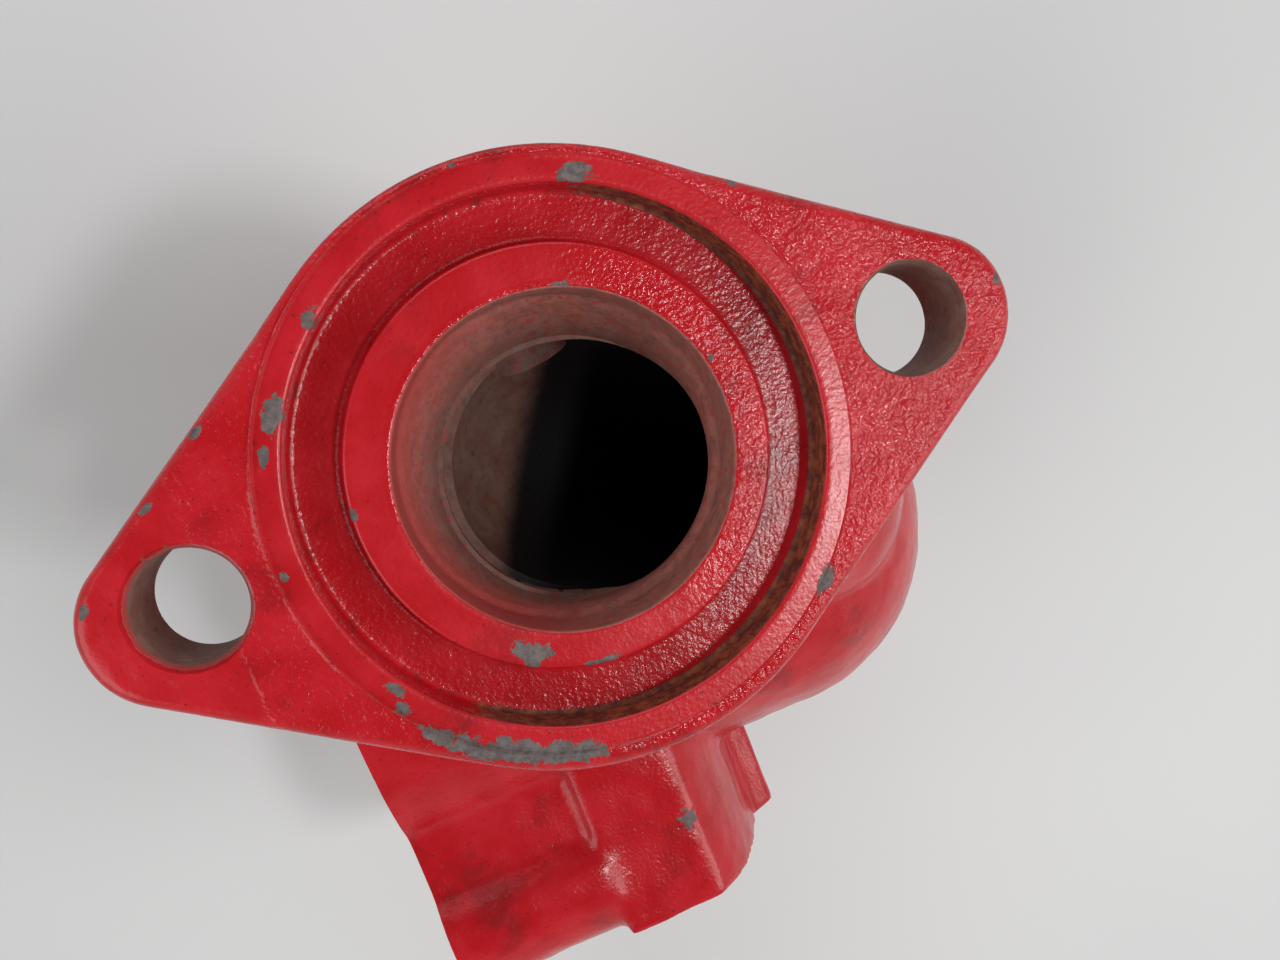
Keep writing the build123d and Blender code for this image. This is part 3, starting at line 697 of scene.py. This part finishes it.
def rust_colour(n):
    """Brown rust with darker pits and orange patches."""
    rust = n.blend(n.ramp(n.noise(3.5, 4, 0.6), 0.35, 0.65), RUST, GREY_BROWN)
    rust = n.blend(n.ramp(n.noise(1.0, 4, 0.6), 0.52, 0.68), rust, RUST_DARK)
    bloom = n.ramp(n.noise(8, 4, 0.6, (0.1, 0, 0)), 0.56, 0.70)
    return n.blend(n.math("MULTIPLY", bloom, 0.65), rust, RUST_ORANGE)


def plain_rust(n):
    """Even grey-brown rust, as in the passages."""
    even = n.blend(n.ramp(n.noise(2.4, 4, 0.6), 0.3, 0.7), GREY_BROWN, RUST)
    return n.blend(0.4, even, rust_colour(n))


def casing_material():
    n = Nodes("red_enamel_on_casting")
    bare, smooth, groove, chip, dirt_and_shade = (n.mask(m) for m in ("bare", "smooth", "groove", "chip", "dirt_and_shade"))

    # Paint: thicker and thinner patches, with rust and dust showing through, and painted shade darkening the
    # gasket groove and the flange's upper edge.
    paint = n.blend(n.ramp(n.noise(6, 3), 0.35, 0.7), RED, RED_PALE)
    grime = n.ramp(n.noise(13, 5, 0.65, (0.3, 0, 0)), 0.54, 0.70)
    paint = n.blend(n.math("MULTIPLY", grime, 0.6), paint, RED_DARK)
    pinhole = n.ramp(n.noise(0.55, 2, 0.6, (0, 0.2, 0)), 0.66, 0.71)
    paint = n.blend(n.math("MULTIPLY", pinhole, 0.75), paint, RED_DARK)
    # Random dirt specks everywhere, plus painted shade in the gasket groove and along the flange's upper
    # edge.
    specks = n.math("MULTIPLY", n.math("SUBTRACT", n.noise(1.3, 5, 0.75), 0.5), 2.2)
    soiled_and_shaded = n.ramp(n.math("ADD", dirt_and_shade, specks), 0.55, 1.0)
    paint = n.blend(n.math("MULTIPLY", soiled_and_shaded, 0.8), paint, DIRT_AND_SHADE)

    rust = rust_colour(n)
    uneven = n.math("SUBTRACT", n.noise(1.5, 5, 0.7), 0.5)
    chipped = n.ramp(n.math("ADD", chip, n.math("MULTIPLY", uneven, 1.5)), 0.54, 0.58)
    bare_edge = n.ramp(n.math("ADD", bare, n.math("MULTIPLY", uneven, 0.7)), 0.46, 0.54)
    mist = n.math("ADD", n.noise(0.8, 3, 0.6, (0, 0, 0.4)), n.math("MULTIPLY", uneven, 0.4))
    overspray = n.ramp(mist, 0.56, 0.64)
    axes = n.add("ShaderNodeSeparateXYZ")
    n.link(n.place, axes.inputs[0])
    near_top = n.ramp(axes.outputs["Z"], 0.112, 0.121)
    left_wall = n.math("MULTIPLY", n.ramp(axes.outputs["X"], 0.002, -0.012), near_top)
    spray = n.math("MAXIMUM", n.math("MULTIPLY", overspray, 0.6), n.math("MULTIPLY", left_wall, 0.75))
    near_face = n.math("MULTIPLY", n.ramp(axes.outputs["Z"], 0.1105, 0.1175), 0.85)
    mottled = n.blend(n.ramp(n.noise(1.7, 5, 0.7), 0.36, 0.66), n.blend(0.35, rust, BORE_RED), BORE_RED)
    mottled = n.blend(near_face, plain_rust(n), mottled)
    bare_look = n.blend(spray, mottled, OVERSPRAY)

    # The groove's outer wall, where the paint has gone: rust, with painted shade in its dark brown on the
    # side away from the light.
    worn_and_shaded_wall = n.ramp(n.math("ADD", groove, n.math("MULTIPLY", uneven, 0.6)), 0.42, 0.56)
    wall = n.blend(n.ramp(n.noise(1.5, 5, 0.7), 0.38, 0.66), WALL_RUST_IN_SHADE, WALL_RUST)
    colour = n.blend(worn_and_shaded_wall, paint, wall)
    primer = n.blend(n.ramp(n.noise(0.9, 4, 0.7), 0.35, 0.65), PRIMER_DARK, PRIMER)
    colour = n.blend(chipped, colour, primer)
    colour = n.blend(bare_edge, colour, bare_look)
    n.link(colour, n.shader.inputs["Base Color"])

    dull = n.math("MAXIMUM", n.math("MAXIMUM", chipped, bare_edge), worn_and_shaded_wall)
    gloss = n.blend(n.noise(5, 2), 0.07, 0.17)
    gloss = n.math("ADD", gloss, n.math("MULTIPLY", smooth, 0.16))
    n.link(n.blend(dull, gloss, 0.60), n.shader.inputs["Roughness"])
    n.shader.inputs["Specular IOR Level"].default_value = 0.42

    # Cast grain under the paint, shallower where the surface is smooth.
    grain = n.math("ADD", n.noise(0.50, 2, 0.55), n.math("MULTIPLY", n.noise(1.1, 2), 0.45))
    paint_bump = n.bump(n.math("MULTIPLY", grain, n.blend(smooth, 1.0, 0.10)), 0.22)
    pitted = n.math("SUBTRACT", n.noise(0.6, 4, 0.7), n.math("MULTIPLY", chipped, 0.6))
    pits = n.math("MULTIPLY", pitted, dull)
    n.link(n.bump(pits, 0.10, paint_bump), n.shader.inputs["Normal"])
    return n.material


def core_material():
    """Unpainted cast iron in the water passages and the holes, with painted shadow: black deep inside, on the
    side that the light through the upper port does not reach.
    """
    n = Nodes("rusty_iron_with_painted_shadow")
    axes = n.add("ShaderNodeSeparateXYZ")
    n.link(n.place, axes.inputs[0])
    x, y, z = axes.outputs
    # Painted shadow: past a slanted line across the passages, and from about 20 mm below the upper face down
    # to the lower port, the walls are painted black.
    ragged = n.math("MULTIPLY", n.math("SUBTRACT", n.noise(3, 4, 0.6), 0.5), 0.0012)
    slanted = n.math("SUBTRACT", n.math("MULTIPLY", x, 0.84), n.math("MULTIPLY", y, 0.54))
    across = n.math("ADD", slanted, ragged)
    shadowed_side = n.ramp(across, -0.0048, -0.0010)
    painted_shadow = n.math("MULTIPLY", shadowed_side, n.ramp(z, 0.1115, 0.1085))
    painted_shadow = n.math("MULTIPLY", painted_shadow, n.ramp(z, 0.020, 0.026))
    in_mouth = n.ramp(x, -0.036, -0.030)
    painted_shadow = n.math("MULTIPLY", painted_shadow, in_mouth)
    n.link(n.blend(painted_shadow, plain_rust(n), PAINTED_SHADOW_BLACK), n.shader.inputs["Base Color"])
    n.link(n.blend(n.noise(1.4, 3), 0.55, 0.8), n.shader.inputs["Roughness"])
    n.shader.inputs["Specular IOR Level"].default_value = 0.25
    n.link(n.bump(n.noise(0.8, 4, 0.65), 0.14), n.shader.inputs["Normal"])
    return n.material


def turned_casing_material():
    """Machined grey iron with a little surface rust, on the motor face and in the cartridge bore."""
    n = Nodes("machined_grey_iron")
    iron = n.blend(n.ramp(n.noise(4, 4, 0.6), 0.35, 0.65), IRON_LIGHT, IRON_DARK)
    stain = n.ramp(n.noise(7, 5, 0.65, (0, 0.3, 0)), 0.55, 0.72)
    n.link(n.blend(n.math("MULTIPLY", stain, 0.8), iron, RUST), n.shader.inputs["Base Color"])
    n.link(n.blend(stain, 0.38, 0.7), n.shader.inputs["Roughness"])
    n.shader.inputs["Metallic"].default_value = 0.6
    n.link(n.bump(n.noise(0.5, 3), 0.02), n.shader.inputs["Normal"])
    return n.material


def turned_metal(name, light, dark, roughness, grain_mm=0.5, metallic=1.0):
    """Machined metal with faint mottling and fine scratches."""
    n = Nodes(name)
    mottle = n.ramp(n.noise(3.0, 3, 0.6), 0.3, 0.7)
    n.link(n.blend(mottle, light, dark), n.shader.inputs["Base Color"])
    n.link(n.blend(n.noise(1.2, 3), roughness * 0.8, roughness * 1.3), n.shader.inputs["Roughness"])
    n.shader.inputs["Metallic"].default_value = metallic
    n.link(n.bump(n.noise(grain_mm, 3), 0.012), n.shader.inputs["Normal"])
    return n.material


def moulded(name, light, dark, roughness):
    """Rubber, carbon or ceramic: no metal in it."""
    return turned_metal(name, light, dark, roughness, 0.35, 0.0)


def slot_materials():
    return {
        "bare_iron": turned_metal("turned_iron", (0.20, 0.19, 0.18, 1), (0.11, 0.085, 0.07, 1), 0.48,
                                  grain_mm=0.6, metallic=0.8),
        "bearing_steel": turned_metal("bearing_steel", (0.62, 0.63, 0.65, 1), (0.5, 0.5, 0.52, 1), 0.16, 0.3),
        "stainless": turned_metal("stainless_steel", (0.55, 0.56, 0.57, 1), (0.42, 0.42, 0.43, 1), 0.28, 0.3),
        "bronze": turned_metal("cast_bronze", (0.52, 0.33, 0.15, 1), (0.34, 0.20, 0.09, 1), 0.38, 0.7),
        "brass_cage": turned_metal("brass", (0.62, 0.45, 0.18, 1), (0.5, 0.34, 0.13, 1), 0.25, 0.3),
        "spring_steel": turned_metal("spring_steel", (0.20, 0.21, 0.23, 1), (0.12, 0.12, 0.13, 1), 0.35, 0.3),
        "plug_steel": turned_metal("plug_steel", (0.34, 0.33, 0.31, 1), (0.20, 0.16, 0.13, 1), 0.45, 0.5),
        "rubber": moulded("black_rubber", (0.020, 0.020, 0.021, 1), (0.035, 0.034, 0.033, 1), 0.6),
        "ceramic": moulded("white_ceramic", (0.74, 0.72, 0.66, 1), (0.64, 0.62, 0.56, 1), 0.15),
        "carbon": moulded("carbon", (0.030, 0.030, 0.033, 1), (0.05, 0.05, 0.05, 1), 0.3),
    }


def dress_nodes():
    """Every CAD node that stays gets the material of its slot."""
    looks = slot_materials()
    for part in frame["record"]["subparts"]:
        look = looks.get(part["material_slot"])
        if look is None:
            continue
        mesh = frame["nodes"][part["node"]].data
        mesh.materials.clear()
        mesh.materials.append(look)
        mesh.shade_smooth()
        mesh.set_sharp_from_angle(angle=radians(30))


# ---------------------------------------------------------------- stage
def cloth_material():
    n = Nodes("pale_cloth")
    shade = n.ramp(n.noise(220, 2), 0.3, 0.7)
    n.link(n.blend(shade, CLOTH_GREY, CLOTH_PALE), n.shader.inputs["Base Color"])
    n.shader.inputs["Roughness"].default_value = 0.9
    n.link(n.bump(n.noise(160, 2), 6.0), n.shader.inputs["Normal"])
    return n.material


FLOOR_HALF = 3.0
FLOOR_GAP = 0.0003


def build_floor():
    size = FLOOR_HALF
    mesh = bpy.data.meshes.new("floor")
    corners = [(-size, -size, 0), (size, -size, 0), (size, size, 0), (-size, size, 0)]
    mesh.from_pydata(corners, [], [(0, 1, 2, 3)])
    floor = new_object("floor", mesh)
    floor.location.z = -FLOOR_GAP
    mesh.materials.append(cloth_material())


def area_light(name, place, target, size, power, colour=(1, 1, 1)):
    data = bpy.data.lights.new(name, "AREA")
    data.shape = "RECTANGLE"
    data.size, data.size_y = size
    data.energy = power
    data.color = colour
    lamp = new_object(name, data)
    lamp.location = place
    lamp.rotation_euler = (Vector(target) - Vector(place)).to_track_quat("-Z", "Y").to_euler()


def build_lights():
    middle = (0, 0, 0.12)
    # Small overhead window to the right: it makes the sparkle on the flange's right half.
    area_light("window", (0.255, -0.165, 0.86), (0.03, -0.01, 0.13), (0.10, 0.08), 2.0)
    area_light("soft_side", (0.85, -0.6, 0.85), middle, (0.8, 0.8), 7.6)
    area_light("soft_back", (0.1, 1.0, 0.9), middle, (1.0, 0.8), 4.4)
    area_light("soft_fill", (-0.95, -0.1, 0.8), middle, (0.9, 0.9), 5.5)
    # The room is bright low down and dim overhead.
    world = bpy.data.worlds.new("studio")
    world.use_nodes = True
    tree = world.node_tree
    back = tree.nodes["Background"]
    back.inputs["Color"].default_value = (0.98, 1.0, 1.0, 1)
    axes = tree.nodes.new("ShaderNodeSeparateXYZ")
    tree.links.new(tree.nodes.new("ShaderNodeTexCoord").outputs["Generated"], axes.inputs[0])
    fade = tree.nodes.new("ShaderNodeMapRange")
    fade.inputs["From Min"].default_value = 0.15
    fade.inputs["From Max"].default_value = 0.85
    fade.inputs["To Min"].default_value = 0.60
    fade.inputs["To Max"].default_value = 0.05
    tree.links.new(axes.outputs["Z"], fade.inputs["Value"])
    tree.links.new(fade.outputs["Result"], back.inputs["Strength"])
    bpy.context.scene.world = world
    bpy.context.scene.view_settings.view_transform = "Standard"


# Fitted to the bolt holes and the turned rings of the upper flange (metres, degrees, mm).
CAMERA_PLACE = (-0.00682, 0.00921, 0.25363)
CAMERA_TURN = (-3.844, -8.161, -21.449)
LENS, SENSOR = 34.0, 36


def build_camera():
    """Close above the upper flange, a little left of the port, looking down and to the right."""
    data = bpy.data.cameras.new("camera")
    data.sensor_width = SENSOR
    data.lens = LENS
    data.clip_start = 0.005
    camera = new_object("camera", data)
    camera.location = CAMERA_PLACE
    camera.rotation_euler = [radians(a) for a in CAMERA_TURN]
    bpy.context.scene.camera = camera


# ---------------------------------------------------------------- scene
casing = build_casing()
casing.name = "casing"
finish_casing(casing)
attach(casing, "housing")
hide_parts("pump_casing")
dress_nodes()
build_floor()
build_lights()
build_camera()
